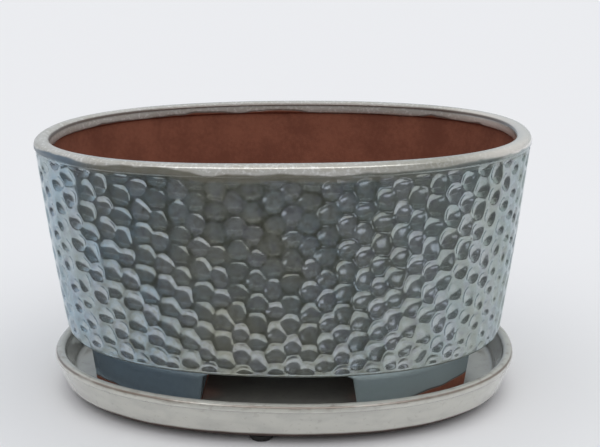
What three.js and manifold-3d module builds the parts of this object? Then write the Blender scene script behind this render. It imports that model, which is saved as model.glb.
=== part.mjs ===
// Oval bonsai pot with a separate drip tray, in millimetres, +Z up.
// The origin is on the table, under the middle of the tray. +X runs along the oval's length and
// -Y is the front. The pot is one fired piece: a tapered oval bowl with a rounded lip, a wall
// hammered all over with dimples, a floor with two drain holes and four feet. It stands loose in
// the tray, and the tray stands on four rubber pads.

import * as THREE from "three";
import { mergeVertices, toCreasedNormals } from "three/addons/utils/BufferGeometryUtils.js";
import Module from "manifold-3d";

// Pot: the oval over the lip
const rimLength = 266;
const rimWidth = 202;
const ovalPower = 2.23; // 2 is an ellipse, and more is squarer
const potHeight = 132; // from the feet to the top of the lip
const rimLean = 0.01; // rise of the lip for each millimetre towards +X, from the drying of the clay

// Pot: lip and wall
const lipThickness = 8.5;
const lipFullness = 0.62; // of every rounded lip: 1 is a half ellipse, and less is squarer
const lipHeight = 4.6; // the rounded edge, seen from outside
const lipInnerHeight = 6.6; // the band inside, above the undercut
const undercutHeight = 0.8;
const bandHeight = 3.6; // the plain band between lip and dimples
const bandDepth = 0.6;
const lipOverhang = 0.5; // from the lip's outside to the wall under it
const wallThickness = 6.4; // over the ridges between the dimples
const wallInset = 12.8; // how far the wall draws in from the lip to its lower edge
const wallBulge = 0.9; // how far it swells between the two
const lowerEdgeRadius = 2.5;
const lowerEdgeDrop = 1.2; // how far the underside dips from the lower edge to the foot ring

// Pot: dimples in the wall, in columns that stand half a dimple apart
const dimpleColumnPitch = 8.4;
const dimplePitch = 10.9; // up a column
const dimpleDepth = 1.5;
const dimpleStray = 0.16; // how far a dimple strays from its place, as a share of the pitch
const dimpleUneven = 0.2; // how much deeper or shallower than the rest one may be

// Pot: floor and feet
const floorThickness = 7;
const floorRadius = 12; // the curve between wall and floor
const drainDiameter = 22;
const drainSpacing = 92;
const footHeight = 23.2; // from the feet to the wall's lower edge
const footInset = 8; // from the wall's lower edge in to the foot ring
const footThickness = 10;
const footTaper = 1.2; // how much the ring draws in at its base
const archWidth = 76; // at the top of the gap between two feet
const archFlare = 3; // how much wider each side is at the bottom
const archCorner = 4;
const archWeb = 1.4; // clay left between the top of the gap and the pot's underside
const archShift = 3; // the front and back gaps are cut this far towards +X

// Tray
const trayReach = 16.3; // from the foot ring out to the tray's lip
const trayHeight = 20.4; // without the pads
const trayFloorThickness = 7.5;
const trayLipThickness = 5.6;
const trayLipHeight = 4.4;
const trayLipRound = 3; // the part of the lip's height that is rounded
const trayLipOverhang = 0.7;
const trayWallSlope = 5; // how far the outside draws in from under the lip to the glaze's edge
const trayWallSwell = 0.5; // how far it swells between the two
const trayBaseHeight = 2.7; // bare clay below the glaze, cut back to the base
const trayBaseInset = 2.8;
const trayFloorClearance = 3.2; // from the foot ring out to where the tray's floor ends
const trayFloorCurve = 3.5; // the curve between floor and inner wall
const trayRecessDepth = 1.5; // hollow under the tray
const trayRecessSlope = 2;
const trayBandWidth = 18; // flat band around the hollow, which carries the pads

// Rubber pads
const padDiameter = 12.7;
const padHeight = 3.5;
const padFootDiameter = 9.5;
const padEdgeHeight = 1.2; // straight side next to the tray
const padSetback = 0.5; // from the outer edge of the flat band in to the pad
const padShift = 5; // the front and back pads sit this far off the middle

// Pieces that rest on each other or are glued lie this far apart.
const seatGap = 0.3;

// Facets
const traySegments = 76;
const padSegments = 20;
const lipSteps = 8;
const curveSteps = 3;
const drainSegments = 32;
const rimSteps = 4000; // for measuring the oval
const creaseAngle = (28 * Math.PI) / 180; // edges that turn more than this are shaded as edges

// Heights above the table
const trayBaseZ = padHeight + seatGap;
const trayTopZ = trayBaseZ + trayHeight;
const trayFloorZ = trayBaseZ + trayFloorThickness;
const footZ = trayFloorZ + seatGap;
const lowerEdgeZ = footZ + footHeight;
const undersideZ = lowerEdgeZ - lowerEdgeDrop;
const archTopZ = undersideZ - archWeb;
const floorZ = undersideZ + floorThickness;
const rimZ = footZ + potHeight;
const lipZ = rimZ - lipHeight;
const undercutZ = rimZ - lipInnerHeight;
const dimplesTopZ = lipZ - bandHeight;
const dimplesBottomZ = lowerEdgeZ + lowerEdgeRadius;

// How far the foot ring's outside lies inside the lip's outside
const footRingInset = wallInset + footInset;

const wasm = await Module();
wasm.setup();

// A point of an oval, where the angle runs anticlockwise from +X.
function ovalPoint(halfLength, halfWidth, angle) {
  const bend = (value) => Math.sign(value) * Math.abs(value) ** (2 / ovalPower);
  return [halfLength * bend(Math.cos(angle)), halfWidth * bend(Math.sin(angle))];
}

// The lengths along the rim from +X to each of many even angles.
function measureRim() {
  const lengths = [0];
  let last = ovalPoint(rimLength / 2, rimWidth / 2, 0);
  for (let i = 1; i <= rimSteps; i++) {
    const next = ovalPoint(rimLength / 2, rimWidth / 2, (i / rimSteps) * 2 * Math.PI);
    lengths.push(lengths[i - 1] + Math.hypot(next[0] - last[0], next[1] - last[1]));
    last = next;
  }
  return lengths;
}
const rimLengths = measureRim();
const rimPerimeter = rimLengths[rimSteps];

// The angle at a share of the way round the rim, so that equal shares are equal lengths.
function angleOfShare(share) {
  const wanted = (share - Math.floor(share)) * rimPerimeter;
  let low = 0;
  let high = rimSteps;
  while (high - low > 1) {
    const middle = (low + high) >> 1;
    if (rimLengths[middle] <= wanted) low = middle;
    else high = middle;
  }
  const part = (wanted - rimLengths[low]) / (rimLengths[high] - rimLengths[low]);
  return ((low + part) / rimSteps) * 2 * Math.PI;
}

// The rim's rise at x, which fades to nothing at the floor, so that feet and floor stay level.
function leanAt(x, z) {
  const share = Math.max(0, (z - floorZ) / (rimZ - floorZ));
  return rimLean * x * share;
}

// One ring of a loft: points at an inset inside the oval of that length and width. A turned ring
// starts half a segment on, and move gives each point's own shift round, out and up.
function makeRing(length, width, inset, z, segments, turned = 0, move = null) {
  const points = [];
  for (let i = 0; i < segments; i++) {
    const { round, out, up } = move ? move(i) : { round: 0, out: 0, up: 0 };
    const angle = angleOfShare((i + turned / 2 + round) / segments);
    const depth = inset - out;
    const [x, y] = ovalPoint(length / 2 - depth, width / 2 - depth, angle);
    points.push([x, y, z + up]);
  }
  return { points, turned };
}

// Triangles between two rings, of which either may have twice as many points as the other.
function joinRings(below, above, firstBelow, firstAbove, faces) {
  const countBelow = below.points.length;
  const countAbove = above.points.length;
  const low = (i) => firstBelow + (i % countBelow);
  const high = (i) => firstAbove + (i % countAbove);
  for (let i = 0; i < Math.min(countBelow, countAbove); i++) {
    if (countBelow > countAbove) {
      faces.push(low(2 * i), low(2 * i + 1), high(i));
      faces.push(low(2 * i + 1), high(i + 1), high(i));
      faces.push(low(2 * i + 1), low(2 * i + 2), high(i + 1));
    } else if (countBelow < countAbove) {
      faces.push(low(i), high(2 * i + 1), high(2 * i));
      faces.push(low(i), low(i + 1), high(2 * i + 1));
      faces.push(low(i + 1), high(2 * i + 2), high(2 * i + 1));
    } else if (below.turned > above.turned) {
      faces.push(low(i), high(i + 1), high(i));
      faces.push(low(i), low(i + 1), high(i + 1));
    } else {
      faces.push(low(i), low(i + 1), high(i));
      faces.push(high(i), low(i + 1), high(i + 1));
    }
  }
}

// A closed solid from rings, with a point on the axis at each end.
function loft(rings, startZ, endZ) {
  const positions = [0, 0, startZ];
  const starts = [];
  for (const ring of rings) {
    starts.push(positions.length / 3);
    for (const point of ring.points) positions.push(...point);
  }
  const end = positions.length / 3;
  positions.push(0, 0, endZ);
  const faces = [];
  const firstCount = rings[0].points.length;
  for (let i = 0; i < firstCount; i++) {
    faces.push(0, starts[0] + ((i + 1) % firstCount), starts[0] + i);
  }
  for (let r = 0; r + 1 < rings.length; r++) {
    joinRings(rings[r], rings[r + 1], starts[r], starts[r + 1], faces);
  }
  const lastStart = starts[rings.length - 1];
  const lastCount = rings[rings.length - 1].points.length;
  for (let i = 0; i < lastCount; i++) {
    faces.push(end, lastStart + i, lastStart + ((i + 1) % lastCount));
  }
  const geometry = new THREE.BufferGeometry();
  geometry.setAttribute("position", new THREE.Float32BufferAttribute(positions, 3));
  geometry.setIndex(faces);
  return geometry;
}

function toManifold(geometry) {
  const bare = geometry.clone();
  bare.deleteAttribute("normal");
  bare.deleteAttribute("uv");
  const merged = mergeVertices(bare, 1e-4);
  return new wasm.Manifold(
    new wasm.Mesh({
      numProp: 3,
      vertProperties: merged.attributes.position.array,
      triVerts: new Uint32Array(merged.index.array),
    }),
  );
}

function toGeometry(solid) {
  const mesh = solid.getMesh();
  const geometry = new THREE.BufferGeometry();
  geometry.setAttribute("position", new THREE.BufferAttribute(mesh.vertProperties, 3));
  geometry.setIndex(new THREE.BufferAttribute(mesh.triVerts, 1));
  return toCreasedNormals(geometry, creaseAngle);
}

// How far the ridges between the dimples lie inside the lip's outside at height z: a straight
// taper that swells a bit.
function wallInsetAt(z) {
  const share = (lipZ - z) / (lipZ - lowerEdgeZ);
  return lipOverhang + (wallInset - lipOverhang) * share - wallBulge * Math.sin(Math.PI * share);
}

// A quarter curve between wall and floor, as pairs of inset and height.
function quarterCurve(startInset, startZ, endInset, endZ) {
  const pairs = [];
  for (let i = 0; i <= curveSteps; i++) {
    const turn = ((i / curveSteps) * Math.PI) / 2;
    const inset = startInset + (endInset - startInset) * (1 - Math.cos(turn));
    pairs.push([inset, startZ + (endZ - startZ) * Math.sin(turn)]);
  }
  return pairs;
}

// A rounded lip from its outside to its inside, as pairs of inset and height.
function roundLip(thickness, startZ, rise) {
  const pairs = [];
  for (let i = 0; i <= lipSteps; i++) {
    const turn = (i / lipSteps) * Math.PI;
    const inset = (thickness / 2) * (1 - Math.cos(turn));
    pairs.push([inset, startZ + rise * Math.abs(Math.sin(turn)) ** lipFullness]);
  }
  return pairs;
}

// The wall's outside is a net of triangles in which the middle of each dimple has six ridge points
// around it: along a row every third point is a middle, and the next row's middles stand over the
// gaps.
const columnCount = 4 * Math.round(rimPerimeter / dimpleColumnPitch / 4);
const segmentsPerColumn = 1.5;
const wallSegments = segmentsPerColumn * columnCount;
const dimpleRowCount = 2 * Math.round((dimplesTopZ - dimplesBottomZ) / dimplePitch);
const dimpleRowPitch = (dimplesTopZ - dimplesBottomZ) / dimpleRowCount;

// A smooth wander between -1 and 1 that closes round the wall, different for each row and seed.
function wander(share, row, seed) {
  const turn = 2 * Math.PI * share;
  const slow = 0.5 * Math.sin(11 * turn + 1.7 * row + seed);
  const middle = 0.3 * Math.sin(23 * turn - 2.3 * row + 2.1 * seed);
  return slow + middle + 0.2 * Math.sin(37 * turn + 3.1 * row + 3.7 * seed);
}

function dimpleRing(row) {
  const z = dimplesBottomZ + row * dimpleRowPitch;
  const turned = row % 2;
  const isEdge = row === 0 || row === dimpleRowCount;
  const move = (i) => {
    if (isEdge) return { round: 0, out: -bandDepth, up: 0 };
    const share = (i + turned / 2) / wallSegments;
    const depth = dimpleDepth * (1 + dimpleUneven * wander(share, row, 5.2));
    return {
      round: segmentsPerColumn * dimpleStray * wander(share, row, 0.4),
      up: 2 * dimpleRowPitch * dimpleStray * wander(share, row, 2.9),
      out: i % 3 === turned ? -depth : 0,
    };
  };
  return makeRing(rimLength, rimWidth, wallInsetAt(z), z, wallSegments, turned, move);
}

// The pot without its drain holes and the gaps between its feet. The plain inside and the foot
// ring have half as many points round as the dimpled outside.
function potBlank() {
  const fine = (inset, z) => makeRing(rimLength, rimWidth, inset, z, wallSegments);
  const coarse = (inset, z) => makeRing(rimLength, rimWidth, inset, z, wallSegments / 2);
  const innerInsetAt = (z) => wallInsetAt(z) + wallThickness;
  const edgeBend = lowerEdgeRadius * (1 - Math.SQRT1_2);
  const rings = [
    coarse(footRingInset + footThickness, undersideZ),
    coarse(footRingInset + footThickness, footZ),
    coarse(footRingInset + footTaper, footZ),
    coarse(footRingInset, undersideZ),
    fine(wallInset + lowerEdgeRadius, lowerEdgeZ),
    fine(wallInset + edgeBend, lowerEdgeZ + edgeBend),
  ];
  for (let row = 0; row <= dimpleRowCount; row++) rings.push(dimpleRing(row));
  const bandZ = lipZ - bandHeight / 2;
  rings.push(fine(wallInsetAt(bandZ) + bandDepth, bandZ));
  for (const [inset, z] of roundLip(lipThickness, lipZ, lipHeight)) rings.push(fine(inset, z));
  rings.push(fine(lipThickness, undercutZ));
  const innerTopZ = undercutZ - undercutHeight;
  const curveZ = floorZ + floorRadius;
  const middleZ = (innerTopZ + curveZ) / 2;
  rings.push(coarse(innerInsetAt(innerTopZ), innerTopZ));
  rings.push(coarse(innerInsetAt(middleZ), middleZ));
  const curveInset = innerInsetAt(curveZ);
  for (const [inset, z] of quarterCurve(curveInset, curveZ, curveInset + floorRadius, floorZ)) {
    rings.push(coarse(inset, z));
  }
  for (const ring of rings) {
    for (const point of ring.points) point[2] += leanAt(point[0], point[2]);
  }
  return loft(rings, undersideZ, floorZ);
}

// The gap between two feet, as a bar that runs right through under the pot from front to back.
function archBar() {
  const top = archWidth / 2;
  const bottom = top + archFlare;
  const below = footZ - archCorner;
  const shape = new THREE.Shape();
  shape.moveTo(-bottom, below);
  shape.lineTo(bottom, below);
  shape.lineTo(top, archTopZ - archCorner);
  shape.quadraticCurveTo(top, archTopZ, top - archCorner, archTopZ);
  shape.lineTo(archCorner - top, archTopZ);
  shape.quadraticCurveTo(-top, archTopZ, -top, archTopZ - archCorner);
  shape.closePath();
  const options = { depth: rimLength, bevelEnabled: false, curveSegments: 5 };
  const bar = new THREE.ExtrudeGeometry(shape, options);
  bar.translate(0, 0, -rimLength / 2);
  bar.rotateX(Math.PI / 2);
  return bar;
}

function makePot() {
  const frontBar = archBar().translate(archShift, 0, 0);
  const sideBar = archBar().rotateZ(Math.PI / 2);
  let solid = toManifold(potBlank()).subtract(toManifold(frontBar)).subtract(toManifold(sideBar));
  for (const side of [-1, 1]) {
    const radius = drainDiameter / 2;
    const drain = new THREE.CylinderGeometry(radius, radius, 3 * floorThickness, drainSegments);
    drain.rotateX(Math.PI / 2);
    drain.translate((side * drainSpacing) / 2, 0, (floorZ + undersideZ) / 2);
    solid = solid.subtract(toManifold(drain));
  }
  return toGeometry(solid);
}

// The oval over the tray's lip follows the pot's foot ring.
const trayLength = rimLength - 2 * (footRingInset - trayReach);
const trayWidth = rimWidth - 2 * (footRingInset - trayReach);
const trayGlazeInset = trayLipOverhang + trayWallSlope;
const trayBandInset = trayGlazeInset + trayBaseInset;

function makeTray() {
  const ring = (inset, z) => makeRing(trayLength, trayWidth, inset, z, traySegments);
  const glazeZ = trayBaseZ + trayBaseHeight;
  const underLipZ = trayTopZ - trayLipHeight;
  const recessZ = trayBaseZ + trayRecessDepth;
  const recessInset = trayBandInset + trayBandWidth;
  const middleInset = (trayLipOverhang + trayGlazeInset) / 2 - trayWallSwell;
  const rings = [
    ring(recessInset + trayRecessSlope, recessZ),
    ring(recessInset, trayBaseZ),
    ring(trayBandInset, trayBaseZ),
    ring(trayGlazeInset, glazeZ),
    ring(middleInset, (glazeZ + underLipZ) / 2),
    ring(trayLipOverhang, underLipZ),
  ];
  const lip = roundLip(trayLipThickness, trayTopZ - trayLipRound, trayLipRound);
  const floorInset = trayReach - trayFloorClearance;
  const curveZ = trayFloorZ + trayFloorCurve;
  const floor = quarterCurve(floorInset - trayFloorCurve, curveZ, floorInset, trayFloorZ);
  for (const [inset, z] of [...lip, ...floor]) rings.push(ring(inset, z));
  return toGeometry(toManifold(loft(rings, recessZ, trayFloorZ)));
}

// A domed pad, flat on top where it is stuck to the tray, and flat where it stands.
function makePad() {
  const radius = padDiameter / 2;
  const foot = padFootDiameter / 2;
  const domeHeight = padHeight - padEdgeHeight;
  const profile = [new THREE.Vector2(0, 0), new THREE.Vector2(foot, 0)];
  for (let i = 1; i <= curveSteps; i++) {
    const turn = ((i / curveSteps) * Math.PI) / 2;
    const reach = foot + (radius - foot) * Math.sin(turn);
    profile.push(new THREE.Vector2(reach, domeHeight * (1 - Math.cos(turn))));
  }
  profile.push(new THREE.Vector2(radius, padHeight), new THREE.Vector2(0, padHeight));
  const pad = new THREE.LatheGeometry(profile, padSegments);
  pad.rotateX(Math.PI / 2);
  return toGeometry(toManifold(pad));
}

const glaze = { color: 0x6c7a7d, roughness: 0.18, metalness: 0 };
const trayGlaze = { color: 0xb5b3a9, roughness: 0.2, metalness: 0 };
const rubber = { color: 0x1b1a19, roughness: 0.75, metalness: 0 };

function add(parent, name, geometry, finish, x = 0, y = 0) {
  const mesh = new THREE.Mesh(geometry, new THREE.MeshStandardMaterial(finish));
  mesh.name = name;
  mesh.position.set(x, y, 0);
  parent.add(mesh);
}

const pot = new THREE.Group();
add(pot, "pot", makePot(), glaze);

const tray = new THREE.Group();
add(tray, "drip_tray", makeTray(), trayGlaze);

// The pads lie on the flat band under the tray, one at each end of the oval's two axes.
const padInset = trayBandInset + padSetback + padDiameter / 2;
const padX = trayLength / 2 - padInset;
const padY = trayWidth / 2 - padInset;
add(tray, "pad_front", makePad(), rubber, -padShift, -padY);
add(tray, "pad_back", makePad(), rubber, padShift, padY);
add(tray, "pad_left", makePad(), rubber, -padX, 0);
add(tray, "pad_right", makePad(), rubber, padX, 0);

const bonsaiPot = new THREE.Group();
bonsaiPot.add(pot, tray);

export default bonsaiPot;
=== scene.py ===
"""An oval glazed bonsai pot with a hammered wall, standing in its drip tray on a pale studio floor.

Sizes are in millimetres until a mesh is written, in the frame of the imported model: +X along the
oval's length, -Y the front, +Z up, the table at z = 0.
"""

import logging
import math
from dataclasses import dataclass, field
from enum import Enum

import bmesh
import bpy
import numpy as np
from mathutils import Matrix, Vector


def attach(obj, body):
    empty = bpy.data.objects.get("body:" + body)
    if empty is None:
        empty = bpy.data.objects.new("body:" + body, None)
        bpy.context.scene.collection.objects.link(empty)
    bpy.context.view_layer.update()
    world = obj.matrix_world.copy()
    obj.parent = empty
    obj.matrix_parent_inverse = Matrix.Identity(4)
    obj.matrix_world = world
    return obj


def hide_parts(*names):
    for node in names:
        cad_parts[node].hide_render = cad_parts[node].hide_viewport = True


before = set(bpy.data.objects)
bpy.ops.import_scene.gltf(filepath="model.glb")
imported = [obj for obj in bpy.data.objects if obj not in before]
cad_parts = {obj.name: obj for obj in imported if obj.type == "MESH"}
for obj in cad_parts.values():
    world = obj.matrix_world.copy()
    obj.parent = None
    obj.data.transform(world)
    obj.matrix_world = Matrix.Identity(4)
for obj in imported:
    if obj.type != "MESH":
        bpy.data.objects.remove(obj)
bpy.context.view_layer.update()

MM = 0.001
Array = np.ndarray
Color = tuple[float, float, float]
Place = tuple[float, float, float]

log = logging.getLogger("bonsai_pot")


class Body(Enum):
    """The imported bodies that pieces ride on."""

    TRAY = "tray"
    POT = "pot"


class Slot(Enum):
    """The record's material slots."""

    POT_GLAZE = "pot_glaze"
    TRAY_GLAZE = "tray_glaze"
    RUBBER = "rubber"


class Side(Enum):
    """The four pads under the tray, with the share of the oval's two axes where each sits."""

    FRONT = (0, -1)
    BACK = (0, 1)
    LEFT = (-1, 0)
    RIGHT = (1, 0)


class Corner(Enum):
    """The four feet, as the signs of x and y."""

    FRONT_LEFT = (-1, -1)
    FRONT_RIGHT = (1, -1)
    BACK_LEFT = (-1, 1)
    BACK_RIGHT = (1, 1)


def ease(low: float, high: float, value: Array) -> Array:
    """A smooth step from 0 at low to 1 at high: 3t squared less 2t cubed.

    Args:
        low: Where the step starts.
        high: Where it ends; it may be less than low.
        value: The values to step.

    Returns:
        The step for each value, 0 to 1.
    """
    t = np.clip((value - low) / (high - low), 0.0, 1.0)
    return t * t * (3.0 - 2.0 * t)


def wander(share: Array, row: Array, seed: float) -> Array:
    """A smooth wander between -1 and 1 that closes round the wall: three sines of 11, 23 and 37
    waves round, whose phase drifts with the row.

    Args:
        share: How far round the oval, 0 to 1.
        row: The row of dimples, not always whole.
        seed: Shifts the wander so that two of them differ.

    Returns:
        The wander at each place.
    """
    turn = 2.0 * math.pi * share
    slow = 0.5 * np.sin(11 * turn + 1.7 * row + seed)
    middle = 0.3 * np.sin(23 * turn - 2.3 * row + 2.1 * seed)
    return slow + middle + 0.2 * np.sin(37 * turn + 3.1 * row + 3.7 * seed)


@dataclass(frozen=True)
class Oval:
    """A superellipse, |x/a|^n + |y/b|^n = 1, whose points are spaced evenly along its outline."""

    length: float
    width: float
    power: float = 2.23
    steps: int = 100_000

    def bend(self, value: Array) -> Array:
        """The signed power 2/n that turns a cosine or sine into a superellipse coordinate."""
        return np.sign(value) * np.abs(value) ** (2.0 / self.power)

    def angles(self, share: Array) -> Array:
        """The angle where the outline's length from +X is that share of the whole.

        Args:
            share: Shares of the way round, anticlockwise from +X; any real number.

        Returns:
            The angle for each share, in radians.
        """
        angle = np.linspace(0.0, 2.0 * math.pi, self.steps + 1)
        x = self.length / 2 * self.bend(np.cos(angle))
        y = self.width / 2 * self.bend(np.sin(angle))
        run = np.concatenate([[0.0], np.cumsum(np.hypot(np.diff(x), np.diff(y)))])
        return np.interp((share - np.floor(share)) * run[-1], run, angle)

    def shares(self, angle: Array) -> Array:
        """The share of the way round at each angle, 0 to a full turn: angles() turned round."""
        table = np.linspace(0.0, 1.0, 2001)
        return np.interp(angle, np.append(self.angles(table[:-1]), 2.0 * math.pi), table)

    def at(self, angle: Array, inset: Array) -> tuple[Array, Array]:
        """The points at an angle on the oval that lies an inset inside this one.

        Args:
            angle: The angle of each point.
            inset: How much shorter both half axes are.

        Returns:
            The x and y of each point.
        """
        x = (self.length / 2 - inset) * self.bend(np.cos(angle))
        y = (self.width / 2 - inset) * self.bend(np.sin(angle))
        return x, y


@dataclass
class Surface:
    """Vertices and faces that grow block by block into one closed mesh, with named numbers for
    each vertex."""

    points: list[Array] = field(default_factory=list)
    faces: list[Array] = field(default_factory=list)
    marks: dict[str, list[Array]] = field(default_factory=dict)
    count: int = 0

    def add_points(self, xyz: Array, marks: dict[str, Array]) -> int:
        """Adds vertices.

        Args:
            xyz: Their places in millimetres, shaped (n, 3).
            marks: A number for each vertex, by attribute name.

        Returns:
            The index of the first of them.
        """
        first = self.count
        self.points.append(xyz.reshape(-1, 3))
        for name, value in marks.items():
            self.marks.setdefault(name, []).append(np.broadcast_to(value, len(xyz)).astype(float))
        self.count += len(xyz)
        return first

    def add_faces(self, corners: Array) -> None:
        """Adds faces of one size, from vertex indices shaped (faces, corners)."""
        self.faces.append(corners)

    def add_grid(self, xyz: Array, marks: dict[str, Array]) -> int:
        """Adds a closed band of quads: a grid whose last column joins its first.

        Args:
            xyz: Places shaped (rows, columns, 3), columns running anticlockwise seen from above
                where the rows go up the outside.
            marks: Numbers shaped (rows, columns) or that spread to it.

        Returns:
            The index of the grid's first vertex.
        """
        rows, columns = xyz.shape[:2]
        flat = {k: np.broadcast_to(v, (rows, columns)).reshape(-1) for k, v in marks.items()}
        first = self.add_points(xyz.reshape(-1, 3), flat)
        r, c = np.meshgrid(np.arange(rows - 1), np.arange(columns), indexing="ij")
        r, c = r.ravel(), c.ravel()
        after = (c + 1) % columns
        corner = [r * columns + c, r * columns + after, (r + 1) * columns + after,
                  (r + 1) * columns + c]
        self.add_faces(first + np.stack(corner, axis=1))
        return first

    def add_capped(self, xyz: Array, marks: dict[str, Array]) -> None:
        """Adds a grid, as add_grid does, and closes its first and its last row with one face.

        Args:
            xyz: Places shaped (rows, columns, 3).
            marks: Numbers shaped (rows, columns) or that spread to it.
        """
        rows, columns = xyz.shape[:2]
        first = self.add_grid(xyz, marks)
        self.add_faces((first + np.arange(columns)[::-1])[None])
        self.add_faces((first + (rows - 1) * columns + np.arange(columns))[None])

    def stitch(self, coarse: int, fine: int, count: int, ratio: int, fine_above: bool) -> None:
        """Joins a ring of few vertices to a ring of ratio times as many with a fan per segment.

        Args:
            coarse: Index of the coarse ring's first vertex.
            fine: Index of the fine ring's first vertex.
            count: Vertices in the coarse ring.
            ratio: Fine vertices for each coarse one; even.
            fine_above: True where the fine ring is the later of the two along the surface.
        """
        i = np.arange(count)
        here, there = coarse + i, coarse + (i + 1) % count
        for k in range(ratio):
            a = fine + (i * ratio + k) % (count * ratio)
            b = fine + (i * ratio + k + 1) % (count * ratio)
            pole = here if k < ratio // 2 else there
            fan = [pole, b, a] if fine_above else [pole, a, b]
            self.add_faces(np.stack(fan, axis=1))
        middle = fine + i * ratio + ratio // 2
        bridge = [here, there, middle] if fine_above else [here, middle, there]
        self.add_faces(np.stack(bridge, axis=1))

    def build(self, name: str, sharp: float = 50.0) -> bpy.types.Object:
        """Writes the mesh: vertices in metres, smooth faces, doubles merged.

        Args:
            name: The piece's name.
            sharp: Edges that turn more than this many degrees stay sharp.

        Returns:
            The new object, at the origin.
        """
        mesh = bpy.data.meshes.new(name)
        co = np.concatenate(self.points) * MM
        sizes = np.concatenate([np.full(len(f), f.shape[1]) for f in self.faces])
        loops = np.concatenate([f.reshape(-1) for f in self.faces])
        mesh.vertices.add(len(co))
        mesh.vertices.foreach_set("co", co.reshape(-1).astype(np.float32))
        mesh.loops.add(len(loops))
        mesh.loops.foreach_set("vertex_index", loops.astype(np.int32))
        mesh.polygons.add(len(sizes))
        starts = np.concatenate([[0], np.cumsum(sizes)[:-1]])
        mesh.polygons.foreach_set("loop_start", starts.astype(np.int32))
        for key, values in self.marks.items():
            mark = mesh.attributes.new(key, "FLOAT", "POINT")
            mark.data.foreach_set("value", np.concatenate(values).astype(np.float32))
        mesh.update(calc_edges=True)
        work = bmesh.new()
        work.from_mesh(mesh)
        bmesh.ops.remove_doubles(work, verts=work.verts, dist=2e-6)
        open_edges = sum(1 for edge in work.edges if len(edge.link_faces) != 2)
        volume = work.calc_volume(signed=True)
        for face in work.faces:
            face.smooth = True
        work.to_mesh(mesh)
        work.free()
        mesh.set_sharp_from_angle(angle=math.radians(sharp))
        log.info("%s: %d faces, %d open edges, volume %.1f ml", name, len(mesh.polygons),
                 open_edges, volume * 1e6)
        piece = bpy.data.objects.new(name, mesh)
        bpy.context.scene.collection.objects.link(piece)
        return piece


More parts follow.
